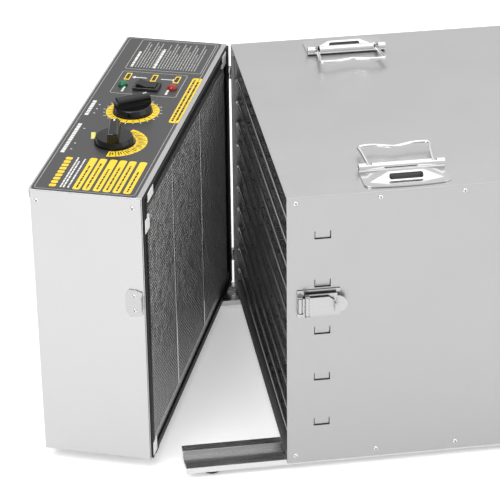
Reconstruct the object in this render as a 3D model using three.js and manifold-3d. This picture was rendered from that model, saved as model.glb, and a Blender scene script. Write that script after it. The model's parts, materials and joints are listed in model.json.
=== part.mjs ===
// Stainless steel food dehydrator: a ten-tray cabinet with a door at one end and, at the other, a hinged heater box
// that swings away from the opening. Millimetres, +Z up. X runs from the heater end to the door, Y from the latch
// side to the hinge side. The heater box and the door both stand open.
import * as THREE from 'three';
import { mergeVertices } from 'three/addons/utils/BufferGeometryUtils.js';
import Module from 'manifold-3d';

const wasm = await Module();
wasm.setup();

// Driving dimensions
const sheet = 1;
const gap = 0.3;
const cabinetLength = 383;
const cabinetWidth = 415;
const topZ = 343;
const sidePlateZ = 10;
const floorZ = 14.5;
const flange = 15;

const trayCount = 10;
const trayPitch = 29.3;
const lowestTrayZ = 37.3;
const trayLength = 370;
const trayWidth = 395;
const trayThickness = 4;
const trayStartX = 4;
const ledgeWidth = 15;

const railReach = 113;
const railInset = 2.5;
const railBottomZ = 7;
const footRadius = 10;

const heaterDepth = 123;
const heaterGap = 3;
const heaterBottomZ = 14.8;
const heaterOpening = 20.5;
const controlX = -66.5;

const doorDepth = 22;
const doorGap = 3;
const doorOpening = 105;
const hingeOffset = 4;

// Materials
const finish = (color, roughness, metalness) => new THREE.MeshStandardMaterial({ color, roughness, metalness });
const satinSteel = () => finish(0xcfcfcd, 0.35, 1);
const brightSteel = () => finish(0xdededc, 0.15, 1);
const blackRubber = () => finish(0x1c1c1c, 0.85, 0);
const blackPlastic = () => finish(0x101010, 0.25, 0);
const darkMesh = () => finish(0x2c2c2e, 0.5, 1);

// Solids
function toSolid(geometry) {
  const bare = geometry.clone();
  bare.deleteAttribute('normal');
  bare.deleteAttribute('uv');
  const merged = mergeVertices(bare, 1e-4);
  return new wasm.Manifold(new wasm.Mesh({
    numProp: 3,
    vertProperties: new Float32Array(merged.attributes.position.array),
    triVerts: new Uint32Array(merged.index.array),
  }));
}

function toGeometry(solid) {
  const mesh = solid.getMesh();
  const geometry = new THREE.BufferGeometry();
  geometry.setAttribute('position', new THREE.BufferAttribute(new Float32Array(mesh.vertProperties), 3));
  geometry.setIndex(new THREE.BufferAttribute(new Uint32Array(mesh.triVerts), 1));
  return geometry;
}

const combine = (how, first, rest) => toGeometry(rest.reduce((all, next) => all[how](toSolid(next)), toSolid(first)));
const fuse = (first, ...rest) => combine('add', first, rest);
const cut = (first, ...rest) => combine('subtract', first, rest);
const overlap = (first, ...rest) => combine('intersect', first, rest);

function box(x0, x1, y0, y1, z0, z1) {
  const geometry = new THREE.BoxGeometry(x1 - x0, y1 - y0, z1 - z0);
  return geometry.translate((x0 + x1) / 2, (y0 + y1) / 2, (z0 + z1) / 2);
}

// A round rod along an axis from a starting point, tapered when the end radius differs.
function rod(axis, start, length, radius, sides = 16, endRadius = radius) {
  const geometry = new THREE.CylinderGeometry(endRadius, radius, length, sides).translate(0, length / 2, 0);
  if (axis === 'x') geometry.rotateZ(-Math.PI / 2);
  if (axis === 'z') geometry.rotateX(Math.PI / 2);
  return geometry.translate(...start);
}

const outline = (points) => new THREE.Shape(points.map(([u, v]) => new THREE.Vector2(u, v)));

// The section of a folded sheet: one face follows the points, and the other lies to their left.
function foldedSheet(points, thickness = sheet) {
  const path = points.map(([u, v]) => new THREE.Vector2(u, v));
  const normals = path.slice(1).map((end, i) => {
    const along = end.clone().sub(path[i]).normalize();
    return new THREE.Vector2(-along.y, along.x);
  });
  const otherFace = path.map((point, i) => {
    const before = normals[Math.max(i - 1, 0)];
    const after = normals[Math.min(i, normals.length - 1)];
    const mitre = before.clone().add(after);
    return point.clone().addScaledVector(mitre, 2 * thickness / mitre.lengthSq());
  });
  return new THREE.Shape([...path, ...otherFace.reverse()]);
}

// Extrusions: a shape drawn in Y and Z runs along X, one in X and Z along Y, one in X and Y along Z.
function extrude(shape, axis, start, end, curveSegments = 8) {
  const geometry = new THREE.ExtrudeGeometry(shape, { depth: end - start, bevelEnabled: false, curveSegments });
  const unit = (x, y, z) => new THREE.Vector3(x, y, z);
  const turn = new THREE.Matrix4();
  if (axis === 'x') turn.makeBasis(unit(0, 1, 0), unit(0, 0, 1), unit(1, 0, 0)).setPosition(start, 0, 0);
  if (axis === 'y') turn.makeBasis(unit(1, 0, 0), unit(0, 0, 1), unit(0, -1, 0)).setPosition(0, end, 0);
  if (axis === 'z') turn.setPosition(0, 0, start);
  return geometry.applyMatrix4(turn);
}

// A round bar along a list of points with its corners rounded by a smooth curve.
function bentBar(points, radius, steps, sides = 8) {
  const path = new THREE.CatmullRomCurve3(points.map((point) => new THREE.Vector3(...point)), false, 'centripetal');
  const section = new THREE.Shape(Array.from({ length: sides }, (_, i) => {
    const angle = (i + 0.5) * 2 * Math.PI / sides;
    return new THREE.Vector2(radius * Math.cos(angle), radius * Math.sin(angle));
  }));
  return new THREE.ExtrudeGeometry(section, { steps, extrudePath: path, bevelEnabled: false });
}

// Groups: the heater box and the door hang on their hinge lines and are drawn closed inside them.
const group = new THREE.Group();
const cabinet = new THREE.Group();
group.add(cabinet);

function hingedGroup(x, y, degrees) {
  const hinge = new THREE.Group();
  hinge.position.set(x, y, 0);
  hinge.rotation.z = THREE.MathUtils.degToRad(degrees);
  const closed = new THREE.Group();
  closed.position.set(-x, -y, 0);
  hinge.add(closed);
  group.add(hinge);
  return closed;
}

const hingeY = cabinetWidth + hingeOffset;
const heaterHingeX = -heaterGap / 2;
const doorHingeX = cabinetLength + doorGap / 2;
const heater = hingedGroup(heaterHingeX, hingeY, -heaterOpening);
const door = hingedGroup(doorHingeX, hingeY, doorOpening);

function add(parent, name, geometry, material, position = [0, 0, 0], turn = 0) {
  const mesh = new THREE.Mesh(geometry, material);
  mesh.name = name;
  mesh.position.set(...position);
  mesh.rotation.z = turn;
  parent.add(mesh);
}

const mirrorY = (geometry) => {
  const mirrored = toSolid(geometry).mirror([0, 1, 0]);
  return toGeometry(mirrored).translate(0, cabinetWidth, 0);
};

// Cabinet shell: a top and a floor with turned edges, screwed between two flat side plates.
const inner = sheet + gap;
const topSection = foldedSheet([
  [inner, topZ - flange], [inner, topZ], [cabinetWidth - inner, topZ], [cabinetWidth - inner, topZ - flange],
], -sheet);
const floorSection = foldedSheet([
  [inner, floorZ + flange], [inner, floorZ], [cabinetWidth - inner, floorZ], [cabinetWidth - inner, floorZ + flange],
]);
add(cabinet, 'cabinet_top_panel', extrude(topSection, 'x', 0, cabinetLength), satinSteel());
add(cabinet, 'cabinet_floor_panel', extrude(floorSection, 'x', 0, cabinetLength), satinSteel());

// Lanced tabs: windows cut on three sides, with the flap left hanging inward from its upper edge.
const tabWidth = 17.8;
const tabHeight = 9.5;
const tabSlant = 1.4;
const tabPitch = 58.7;
const lowestTabZ = sidePlateZ + 47.8;
const tabColumns = [38.9, cabinetLength - 38.9];

function sidePlate() {
  const windows = [];
  const flaps = [];
  for (const x of tabColumns) {
    for (let row = 0; row < 5; row += 1) {
      const z = lowestTabZ + row * tabPitch;
      windows.push(box(x - tabWidth / 2, x + tabWidth / 2, -sheet, 2 * sheet, z, z + tabHeight));
      const flap = outline([
        [0, z + tabHeight + 0.5], [0, z + tabHeight - 0.5], [tabSlant, z + 0.8],
        [sheet + tabSlant, z + 0.8], [sheet, z + tabHeight - 0.5], [sheet, z + tabHeight + 0.5],
      ]);
      flaps.push(extrude(flap, 'x', x - tabWidth / 2 + 0.8, x + tabWidth / 2 - 0.8));
    }
  }
  const plate = cut(box(0, cabinetLength, 0, sheet, sidePlateZ, topZ), ...windows);
  return fuse(plate, ...flaps);
}

add(cabinet, 'near_side_panel', sidePlate(), satinSteel());
add(cabinet, 'far_side_panel', mirrorY(sidePlate()), satinSteel());

// Tray racks: one folded side sheet each, with a ledge under every tray.
const rackY = 3.9;
const trayZ = (index) => lowestTrayZ + index * trayPitch;
const ledgeTopZ = (index) => trayZ(index) - trayThickness / 2 - gap;

function rack() {
  const points = [[rackY, floorZ + 3]];
  for (let i = 0; i < trayCount; i += 1) {
    const z = ledgeTopZ(i);
    points.push([rackY + sheet, z - sheet], [rackY + sheet + ledgeWidth, z - sheet]);
    points.push([rackY + sheet + ledgeWidth, z], [rackY + sheet, z]);
  }
  const top = topZ - flange - 4;
  points.push([rackY + sheet, top], [rackY, top]);
  points.splice(1, 0, [rackY + sheet, floorZ + 3]);
  return extrude(outline(points), 'x', trayStartX, trayStartX + trayLength);
}

add(cabinet, 'near_tray_rack', rack(), satinSteel());
add(cabinet, 'far_tray_rack', mirrorY(rack()), satinSteel());

// Trays: a rim with bars across it that carry the mesh.
const trayRim = 6;
const traySlots = 10;
const trayBar = 3;

function tray() {
  const shape = outline([[0, 0], [trayLength, 0], [trayLength, trayWidth], [0, trayWidth]]);
  const slot = (trayWidth - 2 * trayRim - (traySlots - 1) * trayBar) / traySlots;
  for (let i = 0; i < traySlots; i += 1) {
    const y = trayRim + i * (slot + trayBar);
    shape.holes.push(outline([
      [trayRim, y], [trayRim, y + slot], [trayLength - trayRim, y + slot], [trayLength - trayRim, y],
    ]));
  }
  return extrude(shape, 'z', -trayThickness / 2, trayThickness / 2);
}

for (let i = 0; i < trayCount; i += 1) {
  const place = [trayStartX, (cabinetWidth - trayWidth) / 2, trayZ(i)];
  add(cabinet, `tray_${String(i + 1).padStart(2, '0')}`, tray(), darkMesh(), place);
}

// Base rails: folded channels that run under the floor and reach out under the open heater box.
const railTopZ = floorZ - gap;
const railSection = foldedSheet([
  [railInset, railBottomZ], [railInset, railTopZ], [14.5, railTopZ], [14.5, railBottomZ + sheet],
  [37.5, railBottomZ + sheet], [37.5, railTopZ], [49.5, railTopZ], [49.5, railBottomZ],
], -sheet);
const rail = () => extrude(railSection, 'x', -railReach, cabinetLength);
add(cabinet, 'near_rail', rail(), brightSteel());
add(cabinet, 'far_rail', mirrorY(rail()), brightSteel());

// Feet: tapered rubber under the rails, near their outer folds.
const footY = 18;
const footProfile = [[0, 0], [footRadius - 1, 0], [footRadius, 1.5], [footRadius - 1.5, railBottomZ - gap],
  [0, railBottomZ - gap]];
const foot = () => new THREE.LatheGeometry(footProfile.map(([r, z]) => new THREE.Vector2(r, z)), 24)
  .rotateX(Math.PI / 2);
for (const [end, x] of [['heater_end', -83], ['door_end', cabinetLength - 40]]) {
  add(cabinet, `foot_${end}_near`, foot(), blackRubber(), [x, footY, 0]);
  add(cabinet, `foot_${end}_far`, foot(), blackRubber(), [x, cabinetWidth - footY, 0]);
}

// Carrying handles: a plate with a pressed ridge, rolled over at the back to hold the bail's two pins.
const handleX = 133;
const handlePlateY = 8;
const plateHalf = 47;
const ridgeY = 22;
const ridgeHeight = 9;
const rollY = 41;
const rollRadius = 5;
const pinZ = 5;
const notch = [32.6, 38.6];
const bailRadius = 2;
const bailRise = THREE.MathUtils.degToRad(5);

function handlePlate() {
  const z = topZ + gap;
  const edge = new THREE.Shape();
  edge.moveTo(-plateHalf, rollY);
  edge.lineTo(-plateHalf, 9);
  edge.quadraticCurveTo(-plateHalf + 1, 4, -plateHalf + 8, 2.5);
  edge.quadraticCurveTo(0, -2, plateHalf - 8, 2.5);
  edge.quadraticCurveTo(plateHalf - 1, 4, plateHalf, 9);
  edge.lineTo(plateHalf, rollY);
  edge.lineTo(-plateHalf, rollY);
  const plate = extrude(edge, 'z', z, z + 1.5, 6);
  const ridge = (wall) => {
    const side = outline([
      [-44 + 3 * wall, z], [-19, z + ridgeHeight - wall], [19, z + ridgeHeight - wall], [44 - 3 * wall, z],
      [44 - 3 * wall, z - wall], [-44 + 3 * wall, z - wall],
    ]);
    const section = outline([
      [ridgeY - 11 + wall, z - wall], [ridgeY - 2.5 + wall / 2, z + ridgeHeight],
      [ridgeY + 2.5 - wall / 2, z + ridgeHeight], [ridgeY + 11 - wall, z - wall],
    ]);
    return overlap(extrude(side, 'y', 0, 60), extrude(section, 'x', -plateHalf, plateHalf));
  };
  const roll = rod('x', [-plateHalf, rollY, z + pinZ], 2 * plateHalf, rollRadius, 20);
  const bore = rod('x', [-plateHalf - 1, rollY, z + pinZ], 2 * plateHalf + 2, rollRadius - 1.5, 20);
  const legWay = (x0, x1) => box(x0, x1, rollY - 2.8, rollY + 8, z + 1.7, z + 20);
  const legWays = [legWay(-notch[1], -notch[0]), legWay(...notch)];
  return cut(fuse(plate, ridge(0), roll), ridge(1.3), bore, ...legWays).translate(handleX, handlePlateY, 0);
}

// The bail is drawn lying flat towards the middle of the cabinet and is then raised about its pins.
function bail() {
  const half = [
    [45, 0, 0], [40, 0, 0], [36.8, 0.3, 0], [35.6, 2.6, 0], [36, 12, 0], [37.6, 30, 0], [39, 39, 0],
    [37.6, 43, 0], [32, 44.2, 0], [21, 44, 0], [10, 41, 0],
  ];
  const points = [...half.map(([x, y, z]) => [-x, y, z]), [0, 38.6, 0], ...half.reverse()];
  return bentBar(points, bailRadius, 46).rotateX(bailRise)
    .translate(handleX, handlePlateY + rollY, topZ + gap + pinZ);
}

add(cabinet, 'near_handle_plate', handlePlate(), brightSteel());
add(cabinet, 'far_handle_plate', mirrorY(handlePlate()), brightSteel());
add(cabinet, 'near_bail', bail(), brightSteel());
add(cabinet, 'far_bail', mirrorY(bail()), brightSteel());

// Draw latch on the near side plate: base, lever and claw, with the claw folded back over the lever.
const latchZ = 215.5;
const leverPin = [14, -4.4];
const clawPin = [21, -8];

function latchBase() {
  const plate = box(11, 58, -1.5, -gap, latchZ - 16.5, latchZ + 16.5);
  const earShape = outline([[11, -0.6], [11, -5.6], [13, -7], [15, -7], [17, -5.6], [17.5, -0.6]]);
  const ear = (z) => extrude(earShape, 'z', z, z + 1.2);
  const pin = rod('z', [leverPin[0], leverPin[1], latchZ - 10.5], 21, 1.4, 12);
  return fuse(plate, ear(latchZ - 10.6), ear(latchZ + 9.4), pin);
}

function latchLever() {
  const [px, py] = leverPin;
  const barrel = rod('z', [px, py, latchZ - 8.6], 17.2, 2.5, 16);
  const neck = box(px, 20, py - 1.2, py, latchZ - 8.6, latchZ + 8.6);
  const plate = box(19, 54, py - 1.2, py, latchZ - 13, latchZ + 13);
  const tab = overlap(
    extrude(outline([[53, py], [65, py - 3], [65, py - 4.3], [53, py - 1.3]]), 'z', latchZ - 10, latchZ + 10),
    rod('y', [55, -20, latchZ], 20, 10, 24),
  );
  const ear = (z) => box(clawPin[0] - 2.4, clawPin[0] + 2.4, clawPin[1] - 2.2, py, z, z + 1.2);
  const pin = rod('z', [...clawPin, latchZ - 12.9], 25.8, 1.2, 12);
  const body = fuse(plate, neck, barrel, tab, ear(latchZ - 13), ear(latchZ + 11.8), pin);
  return cut(body, rod('z', [px, py, latchZ - 12], 24, 1.7, 12));
}

function latchClaw() {
  const [qx, qy] = clawPin;
  const end = qx + 30.5;
  const barrel = rod('z', [qx, qy, latchZ - 11.2], 22.4, 2.2, 16);
  const blade = new THREE.Shape([
    [qx, -10.6], [end - 7, -10.6], [end, -5], [end, 5], [end - 7, 10.6], [qx, 10.6],
  ].map(([x, z]) => new THREE.Vector2(x, latchZ + z)));
  const hook = box(end - 1.2, end, qy - 6, qy + 0.6, latchZ - 5, latchZ + 5);
  return cut(fuse(barrel, extrude(blade, 'y', qy - 0.6, qy + 0.6), hook), rod('z', [qx, qy, latchZ - 12], 24, 1.5, 12));
}

add(cabinet, 'latch_base', latchBase(), brightSteel());
add(cabinet, 'latch_lever', latchLever(), brightSteel());
add(cabinet, 'latch_claw', latchClaw(), brightSteel());

// Catch plate on the heater box's near end.
function catchPlate() {
  const edge = -heaterGap;
  const plate = extrude(outline([
    [edge - 3, latchZ - 14], [edge - 3, latchZ + 14], [edge - 10, latchZ + 16.5], [edge - 18, latchZ + 16.5],
    [edge - 22, latchZ + 9], [edge - 22, latchZ - 9], [edge - 18, latchZ - 16.5], [edge - 10, latchZ - 16.5],
  ]), 'y', -1.5, -gap);
  const lip = box(edge - 4.5, edge - 3, -5.4, -1, latchZ - 8, latchZ + 8);
  return fuse(plate, lip);
}

add(heater, 'latch_catch', catchPlate(), brightSteel());

// Lift-off hinges: a fixed leaf with a standing pin and a moving leaf whose knuckle drops over it.
const knuckleRadius = 3.4;
const hingePin = 1.8;

function hingeLeaf(x, z, side, height, reach, moving) {
  const half = height / 2;
  const low = moving ? z + 0.2 : z - half;
  const plateStart = side > 0 ? x + knuckleRadius - 1 : x - knuckleRadius + 1 - reach;
  const plate = box(plateStart, plateStart + reach, cabinetWidth + gap, cabinetWidth + 1.5, z - half, z + half);
  const web = box(Math.min(x, x + side * 4), Math.max(x, x + side * 4), cabinetWidth + gap, cabinetWidth + 1.5,
    low, low + half - 0.2);
  const knuckle = rod('z', [x, hingeY, low], half - 0.2, knuckleRadius, 20);
  if (moving) return cut(fuse(plate, web, knuckle), rod('z', [x, hingeY, z - half], height + 1, hingePin + 0.2, 16));
  return fuse(plate, web, knuckle, rod('z', [x, hingeY, z - 1], half - 1, hingePin, 16));
}

const hinges = [
  ['heater_hinge', heater, heaterHingeX, 1, 15, 26, { lower: 52, upper: 304 }],
  ['door_hinge', door, doorHingeX, -1, 30, 26, { lower: 60, upper: 296 }],
];
for (const [name, moving, x, side, height, reach, levels] of hinges) {
  for (const [level, z] of Object.entries(levels)) {
    add(cabinet, `${name}_${level}_fixed_leaf`, hingeLeaf(x, z, side, height, reach, false), brightSteel());
    add(moving, `${name}_${level}_moving_leaf`, hingeLeaf(x, z, -side, height, reach, true), brightSteel());
  }
}

// Heater box shell: a folded housing round the back and both ends, a bottom, a face frame and the control panel.
const heaterBack = -heaterGap - heaterDepth;
const heaterFace = -heaterGap;
const frontEdge = heaterFace - sheet - gap;
const housingSection = foldedSheet([
  [frontEdge, 0], [heaterBack, 0], [heaterBack, cabinetWidth], [frontEdge, cabinetWidth],
], -sheet);
const inletY = 80;
const inletZ = 60;
const housing = cut(
  extrude(housingSection, 'z', heaterBottomZ, topZ - sheet - gap),
  box(heaterBack - 5, heaterBack + 5, inletY - 14, inletY + 14, inletZ - 11, inletZ + 11),
);
add(heater, 'heater_housing', housing, satinSteel());

const insideBack = heaterBack + inner;
const bottomSection = foldedSheet([
  [insideBack, heaterBottomZ + flange], [insideBack, heaterBottomZ], [frontEdge - gap, heaterBottomZ],
  [frontEdge - gap, heaterBottomZ + flange],
]);
add(heater, 'heater_bottom_panel', extrude(bottomSection, 'y', inner, cabinetWidth - inner), satinSteel());

// Face frame with its mesh screen, in the same plane, and the rubber seal round the rim.
const frameBorder = 20;
const windowBottom = heaterBottomZ + frameBorder;
const windowTop = topZ - 2 * sheet - frameBorder;
function faceFrame() {
  const top = topZ - sheet - gap;
  return cut(
    box(heaterFace - sheet, heaterFace, 0, cabinetWidth, heaterBottomZ, top),
    box(heaterFace - 5, heaterFace + 5, frameBorder, cabinetWidth - frameBorder, windowBottom, windowTop),
  );
}
add(heater, 'heater_face_frame', faceFrame(), satinSteel());
add(heater, 'air_screen', box(heaterFace - sheet, heaterFace, frameBorder + gap, cabinetWidth - frameBorder - gap,
  windowBottom + gap, windowTop - gap), darkMesh());

const sealWidth = 9;
const sealStart = heaterFace + gap;
const seal = cut(
  box(sealStart, sealStart + 2.2, 1, cabinetWidth - 1, heaterBottomZ + 1, topZ - 1),
  box(sealStart - 1, sealStart + 5, 1 + sealWidth, cabinetWidth - 1 - sealWidth, heaterBottomZ + 1 + sealWidth,
    topZ - 1 - sealWidth),
);
add(heater, 'face_seal', seal, blackRubber());

// Control panel: the lid of the heater box, with holes for the knobs' spindles, the switch and the lamps.
const timerY = 207.5;
const thermostatY = 126.5;
const switchY = 272.8;
const lampY = 275.3;
const lampOffset = 29.5;
const spindleRadius = 3;

function controlPanel() {
  const lid = box(heaterBack, heaterFace, 0, cabinetWidth, topZ - sheet, topZ);
  const skirt = box(heaterBack - sheet - gap, heaterBack - gap, 0, cabinetWidth, topZ - 10, topZ);
  const corner = box(heaterBack - sheet - gap, heaterBack + 1, 0, cabinetWidth, topZ - sheet, topZ);
  const hole = (x, y, radius) => rod('z', [x, y, topZ - 3], 6, radius, 24);
  return cut(
    fuse(lid, skirt, corner),
    hole(controlX, timerY, spindleRadius + 0.6),
    hole(controlX, thermostatY, spindleRadius + 0.6),
    hole(controlX - lampOffset, lampY, 4.8),
    hole(controlX + lampOffset, lampY, 4.8),
    box(controlX - 13.2, controlX + 13.2, switchY - 9.2, switchY + 9.2, topZ - 3, topZ + 3),
  );
}
add(heater, 'control_panel', controlPanel(), satinSteel());

// Knobs: a round skirt with a bar grip across it, on a spindle that turns in its control.
const knobRadius = 22.4;
function knob() {
  const profile = [[0, 1], [knobRadius, 1], [knobRadius, 3], [knobRadius - 2.5, 9], [0, 9]];
  const skirt = new THREE.LatheGeometry(profile.map(([r, z]) => new THREE.Vector2(r, z)), 32).rotateX(Math.PI / 2);
  const grip = overlap(
    extrude(outline([[-7, 8], [-5.5, 20], [5.5, 20], [7, 8]]), 'x', -knobRadius, knobRadius),
    rod('z', [0, 0, 0], 30, knobRadius - 1, 32),
  );
  return fuse(skirt, grip, rod('z', [0, 0, -12], 14, spindleRadius, 16));
}
const knobTurns = { timer: 37, thermostat: 102 };
add(heater, 'timer_knob', knob(), blackPlastic(), [controlX, timerY, topZ],
  THREE.MathUtils.degToRad(knobTurns.timer));
add(heater, 'thermostat_knob', knob(), blackPlastic(), [controlX, thermostatY, topZ],
  THREE.MathUtils.degToRad(knobTurns.thermostat));

function controlBody(halfX, halfY, depth) {
  const under = -sheet - gap;
  return cut(
    box(-halfX, halfX, -halfY, halfY, under - depth, under),
    rod('z', [0, 0, -13], 20, spindleRadius + 0.2, 16),
  );
}
add(heater, 'timer_body', controlBody(22, 24, 40), blackPlastic(), [controlX, timerY, topZ]);
add(heater, 'thermostat_body', controlBody(18, 16, 26), finish(0xb9b4a6, 0.5, 0.4), [controlX, thermostatY, topZ]);

// Rocker switch: a bezel and body with a pocket, and a rocker that tips about a cross axis.
const rockerTilt = 8;
const rockerZ = 3.5;
function switchBody() {
  const bezel = box(-15, 15, -10.5, 10.5, gap, 4);
  const body = box(-12.9, 12.9, -8.9, 8.9, -22, gap + 0.5);
  const pocket = box(-11.9, 11.9, -7.6, 7.6, -4, 10);
  return cut(fuse(bezel, body), pocket);
}
function rocker() {
  const side = outline([[-11.2, -1], [-11.2, 2.6], [-9, 3.2], [0, 1.6], [9, 3.2], [11.2, 2.6], [11.2, -1], [0, -4]]);
  return extrude(side, 'y', -7.2, 7.2).rotateY(THREE.MathUtils.degToRad(rockerTilt));
}
add(heater, 'switch_body', switchBody(), blackPlastic(), [controlX, switchY, topZ]);
add(heater, 'switch_rocker', rocker(), blackPlastic(), [controlX, switchY, topZ + rockerZ]);

// Lamps: a lens with a collar on the panel and a stem through it.
function lamp() {
  const profile = [[0, -10], [4.5, -10], [4.5, gap], [5.8, gap], [5.8, 1.6], [5, 3.6], [3.2, 5], [0, 5.6]];
  return new THREE.LatheGeometry(profile.map(([r, z]) => new THREE.Vector2(r, z)), 20).rotateX(Math.PI / 2);
}
add(heater, 'green_lamp', lamp(), finish(0x0d8a50, 0.2, 0), [controlX - lampOffset, lampY, topZ]);
add(heater, 'red_lamp', lamp(), finish(0xc02a22, 0.2, 0), [controlX + lampOffset, lampY, topZ]);

// Power inlet in the back wall, with its socket open to the rear.
function powerInlet() {
  const flangePlate = box(heaterBack - gap - 2, heaterBack - gap, inletY - 17, inletY + 17, inletZ - 14, inletZ + 14);
  const shell = box(heaterBack - 1, heaterBack + 18, inletY - 13.6, inletY + 13.6, inletZ - 10.6, inletZ + 10.6);
  const socket = box(heaterBack - 5, heaterBack + 15, inletY - 11.6, inletY + 11.6, inletZ - 8.6, inletZ + 8.6);
  const blade = (y, z) => box(heaterBack + 9, heaterBack + 16, y - 1, y + 1, z - 2, z + 2);
  return fuse(cut(fuse(flangePlate, shell), socket), blade(inletY - 6, inletZ - 2), blade(inletY + 6, inletZ - 2),
    blade(inletY, inletZ + 3));
}
add(heater, 'power_inlet', powerInlet(), blackPlastic());

// Fan: a motor on the back wall, a five-blade rotor, the heating ring round it and a wire guard in front.
const fanY = cabinetWidth / 2;
const fanZ = 180;
const rotorRadius = 100;
const centred = (x) => [x, fanY, fanZ];
const motorStart = insideBack + gap;
const motorLength = 48;
function motor() {
  const flangePlate = box(0, 2.5, -44, 44, -44, 44);
  const can = rod('x', [2, 0, 0], motorLength - 2, 36, 28);
  return fuse(flangePlate, can, rod('x', [motorLength - 1, 0, 0], 19, 3, 12));
}
function rotor() {
  const hub = rod('x', [0, 0, 0], 16, 18, 24);
  const blades = Array.from({ length: 5 }, (_, i) => {
    const blade = box(-0.8, 0.8, -24, 24, 14, rotorRadius).rotateZ(0.45);
    return blade.translate(8, 0, 0).rotateX(i * 2 * Math.PI / 5);
  });
  return cut(fuse(hub, ...blades), rod('x', [-1, 0, 0], 14, 3.2, 12));
}
function ring(outer, innerRadius, depth, sides = 24) {
  return cut(rod('x', [0, 0, 0], depth, outer, sides), rod('x', [-1, 0, 0], depth + 2, innerRadius, sides));
}
function fanGuard() {
  const spokes = Array.from({ length: 3 }, (_, i) => {
    return box(0, 2, -122, 122, -1.2, 1.2).rotateX((i + 0.5) * Math.PI / 3);
  });
  return fuse(ring(124, 120, 2.4), ring(82, 79, 2.4), ring(40, 37, 2.4), ...spokes);
}
add(heater, 'fan_motor', motor(), finish(0x8f9296, 0.45, 0.8), centred(motorStart));
add(heater, 'fan_rotor', rotor(), finish(0xa9acb0, 0.35, 0.9), centred(motorStart + motorLength + 5.5));
add(heater, 'heating_element', new THREE.TorusGeometry(110, 4, 8, 32).rotateY(Math.PI / 2),
  finish(0x4a4744, 0.55, 0.7), centred(motorStart + motorLength + 14));
add(heater, 'fan_guard', fanGuard(), brightSteel(), centred(heaterFace - 30));

// Door: an outer pan closed by a liner, both with vent slots, and a bow handle on the outside.
const doorStart = cabinetLength + doorGap;
const doorEnd = doorStart + doorDepth;
const ventCount = 8;
function ventSlots() {
  return Array.from({ length: ventCount }, (_, i) => {
    const y = cabinetWidth / 2 + (i - (ventCount - 1) / 2) * 24;
    return box(doorStart - 5, doorEnd + 5, y - 4, y + 4, 120, 240);
  });
}
const doorPan = cut(
  box(doorStart + sheet + gap, doorEnd, 0, cabinetWidth, heaterBottomZ, topZ),
  box(doorStart, doorEnd - sheet, sheet, cabinetWidth - sheet, heaterBottomZ + sheet, topZ - sheet),
  ...ventSlots(),
);
add(door, 'door_panel', doorPan, satinSteel());
add(door, 'door_liner', cut(box(doorStart, doorStart + sheet, 0, cabinetWidth, heaterBottomZ, topZ), ...ventSlots()),
  satinSteel());

function doorHandle() {
  const x = doorEnd + gap;
  const points = [[x, 0, -60], [x + 14, 0, -60], [x + 26, 0, -56], [x + 30, 0, -46], [x + 30, 0, 0],
    [x + 30, 0, 46], [x + 26, 0, 56], [x + 14, 0, 60], [x, 0, 60]];
  return bentBar(points, 5, 26);
}
add(door, 'door_handle', doorHandle(), brightSteel(), [0, 36, 179]);

// The origin is at the middle of the whole object's underside.
const extent = new THREE.Box3().setFromObject(group, true);
const middle = extent.getCenter(new THREE.Vector3());
group.position.set(-middle.x, -middle.y, -extent.min.z);

export default group;
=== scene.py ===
import json
import math
import random

import bmesh
import bpy
from mathutils import Matrix, Vector


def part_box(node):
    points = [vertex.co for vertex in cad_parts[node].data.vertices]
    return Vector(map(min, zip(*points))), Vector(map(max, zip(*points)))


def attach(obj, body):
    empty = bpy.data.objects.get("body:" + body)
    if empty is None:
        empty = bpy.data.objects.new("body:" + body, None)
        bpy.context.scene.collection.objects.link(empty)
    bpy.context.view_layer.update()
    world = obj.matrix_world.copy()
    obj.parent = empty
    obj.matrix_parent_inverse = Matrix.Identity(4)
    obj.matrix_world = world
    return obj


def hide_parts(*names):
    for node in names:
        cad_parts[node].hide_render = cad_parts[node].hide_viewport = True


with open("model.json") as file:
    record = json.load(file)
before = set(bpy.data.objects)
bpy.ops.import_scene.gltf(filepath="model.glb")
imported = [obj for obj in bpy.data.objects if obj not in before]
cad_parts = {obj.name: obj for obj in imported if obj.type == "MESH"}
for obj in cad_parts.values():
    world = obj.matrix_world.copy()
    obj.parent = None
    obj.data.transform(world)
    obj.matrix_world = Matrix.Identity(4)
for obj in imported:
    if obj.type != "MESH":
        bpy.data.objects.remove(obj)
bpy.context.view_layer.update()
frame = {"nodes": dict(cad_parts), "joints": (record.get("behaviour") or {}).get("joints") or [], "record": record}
mm = 0.001
cadNodes = frame["nodes"]
joints = {joint["name"]: joint for joint in frame["joints"]}

# Bench coordinates, in mm: X from the cabinet's heater end to its door end, Y from the latch side to the
# hinge side, Z up from the feet. Pieces of the heater box and the door are drawn closed, then swung open.
sideLow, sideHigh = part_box("near_side_panel")
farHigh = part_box("far_side_panel")[1]
benchOrigin = Vector((sideLow.x, sideLow.y, 0))
cabinetWidth = (farHigh.y - sideLow.y) / mm
topZ = sideHigh.z / mm
plateBottomZ = sideLow.z / mm
toRow = Matrix.Translation(benchOrigin) @ Matrix.Scale(mm, 4)


def swungOpen(jointName):
    # moves a piece from its closed place to where the joint rests
    joint = joints[jointName]
    pivot = Vector(joint["pos_m"])
    turn = Matrix.Rotation(-math.radians(joint["range_deg"][0]), 4, Vector(joint["axis"]))
    return Matrix.Translation(pivot) @ turn @ Matrix.Translation(-pivot)


openings = {"heater_box": swungOpen("heater_swing"), "door": swungOpen("door_swing")}

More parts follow.
